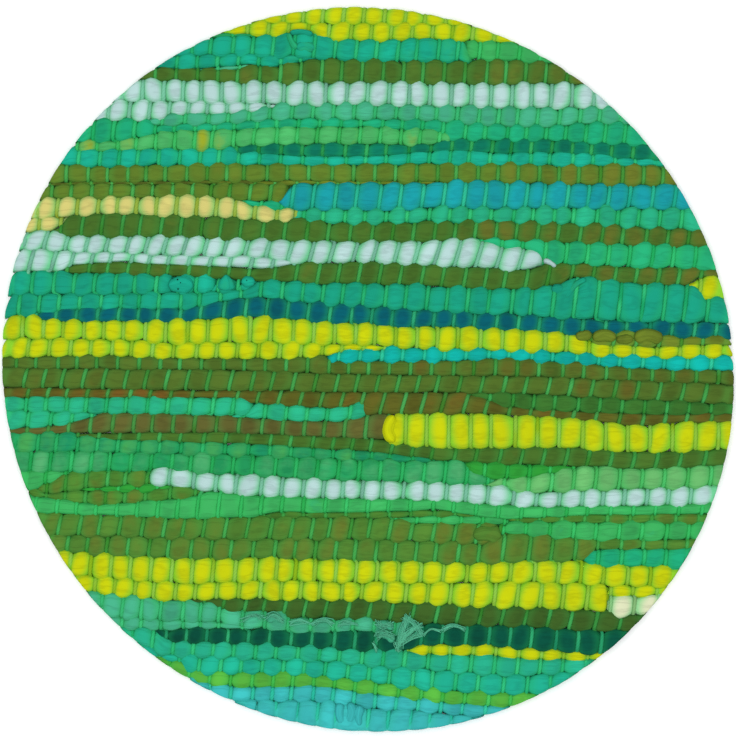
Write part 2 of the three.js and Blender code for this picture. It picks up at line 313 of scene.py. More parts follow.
rag("leaf", 1, -0.2, "-150:-63 -115:-64.5 -80:-66 -52:-65 -40:-63 0:-63 30:-62 60:-66 100:-64 155:-64",
    bulge=0.3)
rag("rust", 1, 0.1, "-48:-65 -40:-65.5 0:-65.4 40:-64.6 47:-65", start=-50, end=48)
rag("ochreLeaf", 0, -1.6, "62:-67.3 100:-67.5 155:-67.5", start=62, tintAt="60:0.3")
rag("leaf", 0, 2.8, "9:-65.8 20:-67.8 40:-68.2 62:-68.4", start=9, end=62)
rag("fernOlive", 0, 1.7, "-150:-73 -100:-74 -60:-75 0:-75 40:-76.5 50:-77 59:-74", end=58.5, endTaper=4,
    lean=0.2, tintAt="-150:0.4 -60:0.55 30:0.7 58:1.2",
    drift="-135:-0.6 -118:-1.1 -108:0 -85:0.8 -63:0.7 -52:2 -26:1.8 -17:0.7 1:-0.8 20:-1.6 50:-2")
rag("leaf", 0, 3, "56:-72 60:-72.5 94:-75 155:-75", start=57, startTaper=4, drift="65:-1.1 90:0 130:0.8")
rag("fernOlive", 1, 4.5,
    "-145:-80.2 -133:-80.5 -80:-83.5 -40:-83 0:-84.5 40:-85.5 80:-84.5 92:-84.4 96.5:-81.5 101:-79.4 "
    "148:-79", lean=0.15, tintAt="-150:0.55 0:0.6 60:0.9 90:0.7", drift=fernRowSlip)
rag("emerald", 1, 4.5, "92:-83 98:-86.3 106:-87 126:-86.5 137:-88 148:-88", start=93, startTaper=6,
    drift=fernRowSlip)
rag("lime", 1, 5.2, "-145:-90.2 -125:-91 -99:-93 -81:-94.5 -43:-93 0:-94 79:-94 130:-96 142:-96", lean=0.1,
    drift="-130:1 -110:0.8 -95:0.6 -87:1.4 -70:0.6 -58:2 -50:1.4 -30:0.5 -10:-0.4 10:-1.3 30:-0.8 "
    "70:-0.2 90:0.6")
rag("lime", 0, -1.8,
    "-135:-97 -123:-98 -97:-101 -82:-102 -60:-101 0:-102 41:-104 70:-105 90:-106 106:-105.8", end=105.2,
    endTaper=1.5, drift="-110:0.9 -90:0.2 -50:1.6 -30:0.5 -10:-0.7 50:-0.8 70:0 90:-0.5 110:0.8")
rag("lime", 0, -1.8, "104:-99.5 132:-99.5", start=104.8, startTaper=1.5)
rag("ivory", 0, -1.8, "103:-107 110:-109 121:-108 130:-106", start=105, startTaper=1.5)
rag("darkMoss", 1, 1,
    "-81:-102 -70:-103 -60:-106.5 -40:-106.5 -35:-109 0:-110 30:-112 64:-113 94:-115 125:-115.3",
    start=-81, lean=0.25, drift="-50:1 -30:0 10:-0.7 30:0 90:-0.4 110:0.8")
rag("mint", 0, 1.2,
    "-128:-107 -112:-109 -95:-110.5 -66:-111.3 -52:-114 -35:-115.3 0:-115.2 10:-117 24:-116", end=23,
    rumple=1.6, drift=mintRowSlip)
rag("mint", 0, 1.2, "-115:-113 -108:-114.5 -85:-114.7 -77:-114 -50:-114.8", end=-49, drift=mintRowSlip,
    rumple=1.6)
rag("bottle", 0, 3.7,
    "-93:-119 -85:-119.8 -50:-121 -10:-123 0:-124 15:-123 28:-121 60:-122 100:-125.5 115:-126", start=-93,
    startTaper=9, drift="30:0.3 50:1 70:0")
rag("lime", 1, 7.4, "15:-124.3 17:-125 51:-126 71:-127.5 99:-128 106:-128", start=16, startTaper=3,
    bulge=1.4)
rag("seafoam", 1, 6.7,
    "-110:-120 -98:-121 -92:-125.5 -63:-127 -17:-128.5 -8:-130 25:-132 60:-135 90:-134 100:-134")
rag("lagoon", 0, 0.7,
    "-98:-126.5 -90:-127.3 -84:-129 -80:-132 -76:-133.6 -32:-134 -4:-137 15:-139.5 44:-142 74:-143.5 "
    "88:-144", drift="10:0 30:-1.4 50:-1 70:0.2")
rag("grass", 1, 4.3, "-95:-133 -84:-134.8 -74:-138 -57:-140 -20:-139.5 0:-143 18:-145 57:-148.5 68:-149.3",
    drift="-60:0.8 -30:0.6 -10:-0.2 10:-0.6 30:-0.3 50:-1")
rag("sky", 1, 3.4, "-75:-144.7 -60:-146 -20:-146 0:-149 28:-151 48:-152.6 55:-153",
    drift="-70:1.8 -53:2 -44:1.2 -25:0.5 0:0 10:-0.6")
rag("sky", 0, -2.5, "-60:-162 60:-162", rumple=1.3,
    drift="-31:0 -22:-0.5 -12:-2.4 -2:2.3 7:1.8 17:1.1 27:0")

# row edges: each strip lies against whatever is above it
outlineLow, outlineHigh = outlineAt(across)
edgeAbove = outlineHigh
for strip in strips:
    x, y = readings(strip["lower"])
    strip["lower"] = softened(np.interp(across, x, y), weave["edgeSoft"])
    above = softened(highest(edgeAbove, weave["edgeReach"]), weave["edgeSettle"])
    strip["upper"] = np.maximum(above, strip["lower"] + weave["leastWidth"])
    here = (across >= strip["start"]) & (across <= strip["end"])
    edgeAbove = np.where(here, np.minimum(edgeAbove, strip["lower"]), edgeAbove)
    shown = np.minimum(strip["upper"], outlineHigh) - np.maximum(strip["lower"], outlineLow)
    inside = here & (shown > weave["leastShown"])
    strip["from"], strip["to"] = across[inside].min(), across[inside].max()
print("strips laid out:", len(strips))


# where the cords cross the strips
def cordAt(number, shift, y):
    pitch = weave["cordPitch"] - weave["pitchSlack"] * y
    spread = weave["sideSpread"] - weave["spreadSlack"] * y
    return pitch * number + spread * number ** 2 + shift


def middleOf(strip, x):
    return (np.interp(x, across, strip["upper"]) + np.interp(x, across, strip["lower"])) / 2


def covers(strip, x, reach=0.0):
    return (x >= strip["from"] - reach) & (x <= strip["to"] + reach)


def crownOver(width):
    return np.minimum(weave["crownBase"] + weave["crownRise"] * width, weave["crownMost"])


cordsASide = 19               # of the middle one, in each shed
numbers = np.arange(-cordsASide, cordsASide + 1)
usualShift = (0.0, 2.5)       # x of the middle cord of each shed
for strip in strips:
    x = cordAt(numbers, strip["cord"], middleOf(strip, numbers * weave["cordPitch"]))
    x = cordAt(numbers, strip["cord"], middleOf(strip, x))
    if "drift" in strip:
        x = x + np.interp(x, *readings(strip["drift"]))
    wander = luck.normal(0, weave["cordWander"], len(x))
    strip["shows"] = x + wander.clip(-weave["wanderMost"], weave["wanderMost"])
    strip["hides"] = x + weave["cordPitch"] / 2
sheds = [[s for s in strips if s["shed"] == shed] for shed in (0, 1)]
for strip in strips:
    others = sheds[1 - strip["shed"]]
    for i, number in enumerate(numbers):
        at = number * weave["cordPitch"] + usualShift[1 - strip["shed"]]
        y = float(middleOf(strip, at))
        near = [other for other in others if covers(other, other["shows"][i], weave["crossReach"])]
        met = [(float(middleOf(other, other["shows"][i])), other["shows"][i]) for other in near]
        if met:
            ys, xs = np.array(sorted(met)).T
            strip["hides"][i] = np.interp(y, ys, xs)
print("cords placed:", 2 * len(numbers))


# one strip as a closed tube with a bead between each pair of cords
def beadOf(x, cords, skews):
    # how full the bead is at x, how near x is to the bead's end, and which bead it is
    cords = np.sort(cords)
    which = np.clip(np.searchsorted(cords, x, side="right") - 1, 0, len(cords) - 2)
    t = 2 * (x - cords[which]) / (cords[which + 1] - cords[which]) - 1
    t = np.abs(t + rumpled["skew"] * skews[which] * (1 - t ** 2)) / weave["cordRoom"]
    t = np.minimum(t, 1) ** weave["roundness"]
    return (1 - t) ** (1 / weave["roundness"]), t, which


noiseKnots, mostBeads = 400, 60  # more than the longest strip needs


def slowNoise(x, length, source):
    knots = source.normal(0, 1, noiseKnots)
    at = (x + beyond) / length
    i = at.astype(int)
    t = at - i
    t = t * t * (3 - 2 * t)
    return knots[i] * (1 - t) + knots[i + 1] * t


def roundedEnd(x, strip):
    ease = np.ones_like(x)
    for place, sign, taper in stripEnds:
        near = np.clip(sign * (x - strip[place]) / strip.get(taper, weave["taper"]), 0, 1)
        ease = ease * np.sqrt(np.clip(1 - (1 - near) ** 2, 0, 1))
    return ease


def ringPlaces(strip):
    cords = np.sort(strip["shows"])
    gaps = np.diff(cords)
    x = (cords[:-1, None] + gaps[:, None] * np.array(beadCuts)).ravel()
    low, high = strip["from"], strip["to"]
    extra = [low, high]
    for place, sign, taper in stripEnds:
        if abs(strip[place]) < farSide:
            extra += [strip[place] + sign * strip.get(taper, weave["taper"]) * f for f in endCuts]
    for end, side in ((low, -1), (high, 1)):
        upper = np.interp(end, across, strip["upper"])
        lower = np.interp(end, across, strip["lower"])
        extra += [outlineSide(upper + (lower - upper) * f, side) for f in sideCuts]
    farthest = halfWidth * weave["tuckFarthest"]
    if low <= strip["start"] + 1:
        low = max(low - weave["tuck"], -farthest)
    if high >= strip["end"] - 1:
        high = min(high + weave["tuck"], farthest)
    if strip["start"] < -farSide:
        low -= weave["cutSpare"]
    if strip["end"] > farSide:
        high += weave["cutSpare"]
    x = np.unique(np.concatenate([x, extra, [low, high]]).round(3))
    x = x[(x >= low) & (x <= high)]
    return x[np.concatenate([[True], np.diff(x) > weave["ringGap"]])]


def turnAt(shares):
    return np.arccos(np.sign(shares) * np.abs(shares) ** (1 / weave["fullness"]))


turns = np.concatenate([turnAt(overTop), 2 * np.pi - turnAt(underneath)])[None, :]


def ragTube(strip, source):
    rings = ringPlaces(strip)
    x = np.repeat(rings[:, None], turns.size, axis=1)
    upper, lower = np.interp(x, across, strip["upper"]), np.interp(x, across, strip["lower"])
    width, middle = upper - lower, (upper + lower) / 2
    ease = roundedEnd(x, strip)
    slim = np.maximum(ease, weave["tuckShare"])
    rumple, bulge = strip.get("rumple", rumpled["usual"]), strip.get("bulge", 1)
    uneven = source.normal(0, 1, (6, mostBeads))  # in six ways, bead by bead
    sway, lift, tone, swell, skew, slant = uneven.clip(-rumpled["most"], rumpled["most"])
    beadTop, alongTop, whichTop = beadOf(x, strip["shows"], skew)
    beadLow, alongLow, whichLow = beadOf(x, strip["hides"], skew)
    swaying = slowNoise(x, rumpled["swayLength"], source) + sway[whichTop] * beadTop
    middle = middle + rumple * rumpled["sway"] * swaying

    # cut ends spring back to full width
    for reached, place, sign in ((strip["start"] < -farSide, "from", 1), (strip["end"] > farSide, "to", -1)):
        if reached:
            sprung = np.clip(1 - sign * (x - strip[place]) / weave["cutFull"], 0, 1) ** 0.5
            beadTop, beadLow = np.maximum(beadTop, sprung), np.maximum(beadLow, sprung)

    # heights of the face and of the underside
    drift = rumpled["drift"] * slowNoise(x, rumpled["driftLength"], source)
    crown = crownOver(width) + rumple * (drift + rumpled["jump"] * lift[whichTop] * beadTop)
    top = crown - weave["topNip"] * bulge * (1 - beadTop ** weave["doming"])
    low = weave["floorGap"] + weave["lowNip"] * (1 - beadLow)
    low = low + rumpled["lowJump"] * rumple * np.abs(tone[whichLow]) * beadLow

    # half widths at a bead and at a cord
    half = width / 2
    press = np.minimum(weave["press"], weave["pressShare"] * width) * bulge
    full = half + press * (1 + rumpled["pressJump"] * swell[whichTop].clip(-1, 1))
    waist = half - np.minimum(weave["draw"], weave["drawShare"] * half) * bulge
    reachTop = (waist + (full - waist) * beadTop) * slim
    reachLow = (waist + (full - waist) * beadLow) * slim

    # round the section
    level = (top + low) / 2 - weave["tuckDip"] * (1 - ease)
    side, rise = np.cos(turns), np.sin(turns)
    isTop = rise >= 0
    reach = np.where(isTop, reachTop, reachLow)
    reach = np.where(np.abs(rise) < 0.01, (reachTop + reachLow) / 2, reach)
    y = reach * np.sign(side) * np.abs(side) ** weave["fullness"]
    thick = np.where(isTop, top - level, level - low) * np.sign(rise) * np.abs(rise) ** weave["fullness"]
    z = level + thick * (weave["tipHeight"] + (1 - weave["tipHeight"]) * ease)
    for _ in range(softFolds["count"]):
        place = source.uniform(-softFolds["place"], softFolds["place"])
        place = place + softFolds["wander"] * slowNoise(x, softFolds["wanderLength"], source)
        fade = slowNoise(x, softFolds["fadeLength"], source) + softFolds["fadeFrom"]
        fade = softFolds["least"] + softFolds["rest"] * np.clip(fade, 0, softFolds["fadeMost"])
        depth = (softFolds["depth"] + softFolds["rumpleDepth"] * rumple) * fade
        fromFold = (y / np.maximum(half, weave["leastFoldHalf"]) - place) / softFolds["width"]
        z = z - np.sign(rise) * depth * np.exp(-fromFold ** 2) * ease

    # how deep each place lies between the beads, for the warp's green and painted green shade
    edge = weave["edgeGreenShade"] * np.abs(y) / np.maximum(full * slim, weave["leastHalf"])
    edge = edge.clip(0, weave["edgeMost"])
    sunk = (np.where(isTop, alongTop, alongLow) + edge ** weave["roundness"]) ** (1 / weave["roundness"])
    lean = strip.get("lean", weave["lean"]) + rumpled["lean"] * slant[whichTop] * beadTop
    x, y = trimmed(x + lean * y * np.clip(ease * weave["leanSoon"], 0, 1), y + middle)
    tint = np.interp(rings, *readings(strip["tintAt"])) if "tintAt" in strip else np.zeros(len(rings))
    tint = tint[:, None] + rumpled["tint"] * swell[whichTop]
    return dict(points=np.stack([x, y, z], axis=2), lay=layOf(x, turns, sunk), tint=tint, tone=tone[whichTop])


def runAlong(points):
    return np.concatenate([[0], np.cumsum(np.linalg.norm(np.diff(points, axis=0), axis=1))])


def directionOf(line):
    forward = np.gradient(line, axis=0)
    return forward / np.linalg.norm(forward, axis=1)[:, None]


def jumpsAlong(at, total, count, source):
    return np.interp(at, np.linspace(0, total, count), source.normal(0, 1, count))


def layOf(x, turn, sunk):
    # place along the strip, place round it, and 0 on a bead to 1 between beads
    around = np.broadcast_to(turn / (2 * np.pi), x.shape)
    return np.stack([x * mm, around, sunk.clip(0, weave["sunkMost"])], axis=2)


def tubeQuads(rings, count):
    i = np.arange(rings - 1)[:, None] * count
    j = np.arange(count)[None, :]
    k = (j + 1) % count
    return np.stack([i + j, i + count + j, i + count + k, i + k], axis=2).reshape(-1, 4)


def placedObject(name, data):
    thing = bpy.data.objects.new(name, data)
    bpy.context.scene.collection.objects.link(thing)
    return thing


def meshObject(name, parts, material):
    quads, caps, first = [], [], 0
    for part in parts:
        rings, count = part["points"].shape[:2]
        quads.append(tubeQuads(rings, count) + first)
        caps.append(first + np.arange(count))
        caps.append(first + (rings - 1) * count + np.arange(count)[::-1])
        first += rings * count
    joined = {}
    for label, values in parts[0].items():
        columns = values.shape[2] if values.ndim == 3 else 1
        joined[label] = np.concatenate([part[label].reshape(-1, columns) for part in parts])
    mesh = bpy.data.meshes.new(name)
    faces = [q.tolist() for q in np.concatenate(quads)] + [c.tolist() for c in caps]
    mesh.from_pydata((joined.pop("points") * mm).tolist(), [], faces)
    for label, values in joined.items():
        kind, field = ("FLOAT", "value") if values.shape[1] == 1 else ("FLOAT_VECTOR", "vector")
        mesh.attributes.new(label, kind, "POINT").data.foreach_set(field, values.ravel())
    mesh.shade_smooth()
    mesh.materials.append(material)
    return placedObject(name, mesh)


# shader groups that the materials share, with scales as noises and ribs per metre
grain = {
    "creases": (38.0, 7.0, 0.0),          # along a strip and round it
    "creaseDetail": (3.0, 0.6),
    "folds": (140.0, 420.0, 420.0),
    "foldShare": 0.6,
    "creaseShare": 0.5,
    "fuzz": 2600.0,
    "loopShare": 0.3,
    "broad": 60.0,
    "patch": 105.0,
    "streak": (120.0, 900.0, 900.0),
    "fullTurn": 6.283,
    "halfTurn": 3.1416,
}


def groupOf(name, vectors, numbers, results):
    group = bpy.data.node_groups.new(name, "ShaderNodeTree")
    sockets = (vectors, "INPUT", "Vector"), (numbers, "INPUT", "Float"), (results, "OUTPUT", "Float")
    for labels, way, kind in sockets:
        for label in labels:
            group.interface.new_socket(label, in_out=way, socket_type="NodeSocket" + kind)
    return group, group.nodes.new("NodeGroupInput").outputs, group.nodes.new("NodeGroupOutput").inputs


def mathNode(tree, operation, first, second=None, third=None, clamp=False):
    node = tree.nodes.new("ShaderNodeMath")
    node.operation = operation
    node.use_clamp = clamp
    for socket, value in zip(node.inputs, (first, second, third)):
        if isinstance(value, (int, float)):
            socket.default_value = value
        elif value is not None:
            tree.links.new(value, socket)
    return node.outputs[0]


def mixColours(tree, factor, first, second, blend="MIX"):
    node = tree.nodes.new("ShaderNodeMix")
    node.data_type = "RGBA"
    node.blend_type = blend
    for socket, value in ((node.inputs[0], factor), (node.inputs[6], first), (node.inputs[7], second)):
        if isinstance(value, (int, float)):
            socket.default_value = value
        elif isinstance(value, tuple):
            socket.default_value = (*value, 1)
        else:
            tree.links.new(value, socket)
    return node.outputs[2]


def noiseNode(tree, vector, scale, detail=2.0, roughness=0.5):
    # one scale, or one for each direction
    if isinstance(scale, tuple):
        stretch = tree.nodes.new("ShaderNodeVectorMath")
        stretch.operation = "MULTIPLY"
        stretch.inputs[1].default_value = scale
        tree.links.new(vector, stretch.inputs[0])
        vector, scale = stretch.outputs[0], 1.0
    node = tree.nodes.new("ShaderNodeTexNoise")
    node.inputs["Scale"].default_value = scale
    node.inputs["Detail"].default_value = detail
    node.inputs["Roughness"].default_value = roughness
    tree.links.new(vector, node.inputs["Vector"])
    return node.outputs["Fac"]


def partsOf(tree, vector):
    node = tree.nodes.new("ShaderNodeSeparateXYZ")
    tree.links.new(vector, node.inputs[0])
    return node.outputs


def foldLinesGroup():
    # creases that run along a folded strip, from where the cloth lies round it; the Crease mask also darkens
    # the cloth as painted shade
    tree, source, result = groupOf("foldLines", ("Lay", "Place"), ("Sharpness",), ("Height", "Crease"))
    field = noiseNode(tree, source["Lay"], grain["creases"], *grain["creaseDetail"])
    ridge = mathNode(tree, "ABSOLUTE", mathNode(tree, "SUBTRACT", field, 0.5))
    ridge = mathNode(tree, "MULTIPLY", ridge, source["Sharpness"])
    crease = mathNode(tree, "SUBTRACT", 1.0, ridge, clamp=True)
    soft = mathNode(tree, "MULTIPLY", noiseNode(tree, source["Place"], grain["folds"]), grain["foldShare"])
    sharp = mathNode(tree, "MULTIPLY", crease, grain["creaseShare"])
    tree.links.new(crease, result["Crease"])
    tree.links.new(mathNode(tree, "SUBTRACT", soft, sharp), result["Height"])
    return tree


def jerseyGroup():
    # the fine ribs and loops of knitted cotton, about 1.2 mm apart
    tree, source, result = groupOf("jerseyKnit", ("Place",), ("Ribs",), ("Height",))
    place = partsOf(tree, source["Place"])
    ribs = mathNode(tree, "MULTIPLY", place[1], source["Ribs"])
    zigzag = mathNode(tree, "PINGPONG", mathNode(tree, "MULTIPLY", place[0], source["Ribs"]), 1.0)
    waves = mathNode(tree, "MULTIPLY", mathNode(tree, "ADD", ribs, zigzag), grain["fullTurn"])
    loops = mathNode(tree, "MULTIPLY", mathNode(tree, "SINE", waves), grain["loopShare"])
    fuzz = noiseNode(tree, source["Place"], grain["fuzz"])
    tree.links.new(mathNode(tree, "ADD", loops, fuzz), result["Height"])
    return tree


def dyeGroup():
    # how the dye drifts from place to place: broadly, in patches, and in streaks along the strips
    tree, source, result = groupOf("dyeDrift", ("Place",), (), ("Broad", "Patch", "Streak"))
    place = source["Place"]
    tree.links.new(noiseNode(tree, place, grain["broad"]), result["Broad"])
    tree.links.new(noiseNode(tree, place, grain["patch"], *grain["creaseDetail"]), result["Patch"])
    tree.links.new(noiseNode(tree, place, grain["streak"]), result["Streak"])
    return tree


foldLines, jerseyKnit, dyeDrift = foldLinesGroup(), jerseyGroup(), dyeGroup()


def placed(tree, group, **values):
    node = tree.nodes.new("ShaderNodeGroup")
    node.node_tree = group
    for label, value in values.items():
        if isinstance(value, (int, float)):
            node.inputs[label].default_value = value
        else:
            tree.links.new(value, node.inputs[label])
    return node.outputs


def linear(colour):
    # the usual screen curve, undone
    return tuple((c / 255 / 12.92) if c < 10.3 else ((c / 255 + 0.055) / 1.055) ** 2.4 for c in colour)


def shifted(colour, factor):
    return tuple(min(1.0, c * factor) for c in colour)


def attributeNode(tree, name, output):
    node = tree.nodes.new("ShaderNodeAttribute")
    node.attribute_name = name
    return node.outputs[output]


shine = 0.12  # faint, on all the materials


def newMaterial(name, roughness):
    material = bpy.data.materials.new(name)
    material.use_nodes = True
    tree = material.node_tree
    shader = tree.nodes["Principled BSDF"]
    shader.inputs["Roughness"].default_value = roughness
    shader.inputs["Specular IOR Level"].default_value = shine
    return material, tree, shader, tree.nodes.new("ShaderNodeTexCoord").outputs["Object"]


def withBump(tree, shader, height, strength, distance):
    bump = tree.nodes.new("ShaderNodeBump")
    bump.inputs["Strength"].default_value = strength
    bump.inputs["Distance"].default_value = distance
    tree.links.new(height, bump.inputs["Height"])
    tree.links.new(bump.outputs[0], shader.inputs["Normal"])


ragCloth = {
    "roughness": 0.95,
    "gain": 0.893,           # how much darker the dye is than the colour it ends up looking
    "darkest": 0.8,          # tones between which the cloth varies
    "lightest": 1.2,
    "broadDrift": 0.5,       # how much of that comes from the dye's broad drift
    "beadJump": 0.24,        # how much beads differ in tone, and how much among the pale cloths
    "paleJump": 0.06,
    "paleFrom": 190,
    "patchSpread": 1.8,      # how sharply the second colour's patches begin
    "patchFrom": 1.4,
    "streaks": 0.35,
    "streakDark": 0.88,
    # creases: painted shade along the crease lines, how strong and how dark
    "creases": 0.8,
    "creaseDark": 0.8,
    "creaseSharpness": 16.0,
    "ribs": 850.0,
    "foldHeight": 3.0,
    "knitHeight": 0.35,
    "bump": 0.6,
    "bumpDepth": 0.0001,
    "groove": (52, 196, 96),  # green of the warp that, with painted green shade, tints the cloth down between the beads
    "grooveStrength": 0.92,
    "grooveFrom": 0.36,      # 0 is the middle of a bead and 1 its edge
    "grooveWidth": 0.62,
    "groovePower": 1.7,
    "grooveGain": 0.92,
}


def blended(first, second, share):
    return tuple(a + (b - a) * share for a, b in zip(first, second))


def dyed(colour):
    return shifted(linear(colour), ragCloth["gain"])


def ragMaterial(name, colour, groove, other=None):
    material, tree, shader, place = newMaterial(name, ragCloth["roughness"])
    lay = attributeNode(tree, "lay", "Vector")
    dye = placed(tree, dyeDrift, Place=place)
    folds = placed(tree, foldLines, Lay=lay, Place=place, Sharpness=ragCloth["creaseSharpness"])
    knit = placed(tree, jerseyKnit, Place=place, Ribs=ragCloth["ribs"])

    base = dyed(colour)
    jump = ragCloth["paleJump" if max(colour) > ragCloth["paleFrom"] else "beadJump"]
    drift = ragCloth["broadDrift"]
    tone = mathNode(tree, "MULTIPLY_ADD", attributeNode(tree, "tone", "Fac"), jump, drift / 2)
    tone = mathNode(tree, "MULTIPLY_ADD", dye["Broad"], drift, tone, clamp=True)
    cloth = mixColours(tree, tone, shifted(base, ragCloth["darkest"]), shifted(base, ragCloth["lightest"]))
    if other:
        patch = mathNode(tree, "MULTIPLY", dye["Patch"], ragCloth["patchSpread"])
        tint = mathNode(tree, "SUBTRACT", attributeNode(tree, "tint", "Fac"), ragCloth["patchFrom"])
        cloth = mixColours(tree, mathNode(tree, "ADD", patch, tint, clamp=True), cloth, dyed(other))
    # dye streaks, and painted shade along the crease lines
    for effect, name in ((dye["Streak"], "streak"), (folds["Crease"], "crease")):
        strength = mathNode(tree, "MULTIPLY", effect, ragCloth[name + "s"])
        cloth = mixColours(tree, strength, cloth, (ragCloth[name + "Dark"],) * 3, "MULTIPLY")

    # the warp's green and painted green shade, down between the beads
    sunk = mathNode(tree, "SUBTRACT", partsOf(tree, lay)[2], ragCloth["grooveFrom"], clamp=True)
    sunk = mathNode(tree, "MULTIPLY", sunk, 1 / ragCloth["grooveWidth"], clamp=True)
    sunk = mathNode(tree, "POWER", sunk, ragCloth["groovePower"])
    sunk = mathNode(tree, "MULTIPLY", sunk, ragCloth["grooveStrength"])
    deep = shifted(linear(blended(colour, ragCloth["groove"], groove)), ragCloth["grooveGain"])
    tree.links.new(mixColours(tree, sunk, cloth, deep), shader.inputs["Base Color"])

    folded = mathNode(tree, "MULTIPLY", folds["Height"], ragCloth["foldHeight"])
    knitted = mathNode(tree, "MULTIPLY", knit["Height"], ragCloth["knitHeight"])
    withBump(tree, shader, mathNode(tree, "ADD", folded, knitted), ragCloth["bump"], ragCloth["bumpDepth"])
    return material


# colour as it looks, a second colour it drifts to, and how green its grooves are with the warp's green and
# painted green shade
cloths = {
    "lime": dict(colour=(195, 203, 6), groove=0.45),
    "olive": dict(colour=(94, 123, 39), other=(108, 120, 39), groove=0.2),
    "oliveDeep": dict(colour=(80, 108, 37), other=(96, 92, 31), groove=0.15),
    "ochre": dict(colour=(110, 130, 38), other=(78, 92, 30), groove=0.2),
    "ochreLeaf": dict(colour=(76, 130, 46), other=(112, 108, 40), groove=0.3),
    "rust": dict(colour=(72, 123, 44), groove=0.3),
    "bark": dict(colour=(74, 110, 38), other=(102, 112, 39), groove=0.2),
    "moss": dict(colour=(69, 107, 37), other=(104, 108, 38), groove=0.2),
    "darkMoss": dict(colour=(61, 96, 35), groove=0.2),
    "fern": dict(colour=(58, 112, 42), groove=0.2),
    "fernOlive": dict(colour=(80, 128, 46), other=(100, 116, 40), groove=0.2),
    "brown": dict(colour=(90, 92, 29), other=(115, 85, 30), groove=0.15),
    "umber": dict(colour=(95, 95, 43), groove=0.2),
    "white": dict(colour=(178, 209, 206), groove=0.6),
    "ivory": dict(colour=(219, 223, 184), groove=0.45),
    "butter": dict(colour=(209, 199, 116), groove=0.45),
    "mint": dict(colour=(68, 171, 131), groove=0.4),
    "jade": dict(colour=(39, 172, 128), groove=0.35),
    "emerald": dict(colour=(28, 166, 117), groove=0.35),
    "green": dict(colour=(36, 170, 115), groove=0.35),
    "sage": dict(colour=(75, 176, 100), other=(150, 165, 40), groove=0.35),
    "pale": dict(colour=(103, 179, 104), groove=0.4),
    "leaf": dict(colour=(60, 171, 91), other=(30, 165, 140), groove=0.35),
    "clover": dict(colour=(46, 153, 53), groove=0.3),
    "grass": dict(colour=(86, 176, 62), groove=0.3),
    "sea": dict(colour=(33, 151, 89), other=(84, 172, 110), groove=0.35),
    "seaLeaf": dict(colour=(26, 141, 94), other=(68, 163, 84), groove=0.35),
    "seaDeep": dict(colour=(22, 156, 125), groove=0.25),
    "seafoam": dict(colour=(37, 171, 134), groove=0.28),
    "lagoon": dict(colour=(30, 173, 141), groove=0.22),
    "teal": dict(colour=(22, 161, 130), other=(50, 171, 96), groove=0.25),
    "turquoise": dict(colour=(24, 170, 140), groove=0.25),
    "aqua": dict(colour=(11, 174, 162), groove=0.2),
    "sky": dict(colour=(58, 181, 179), groove=0.1),
    "deepTeal": dict(colour=(7, 119, 92), groove=0.35),
    "bottle": dict(colour=(1, 79, 60), groove=0.3),
    "navy": dict(colour=(0, 93, 106), groove=0.4),
    "blue": dict(colour=(22, 151, 158), groove=0.25),
}

# the cords' colour where they cross the palest, the bluest and the darkest cloths
stainedCords = {
    "lime": (166, 188, 14), "white": (138, 182, 176), "ivory": (158, 188, 136), "butter": (174, 170, 46),
    "navy": (20, 135, 114), "bottle": (22, 131, 104), "sky": (40, 190, 182), "aqua": (24, 186, 172),
    "blue": (14, 166, 158),
}

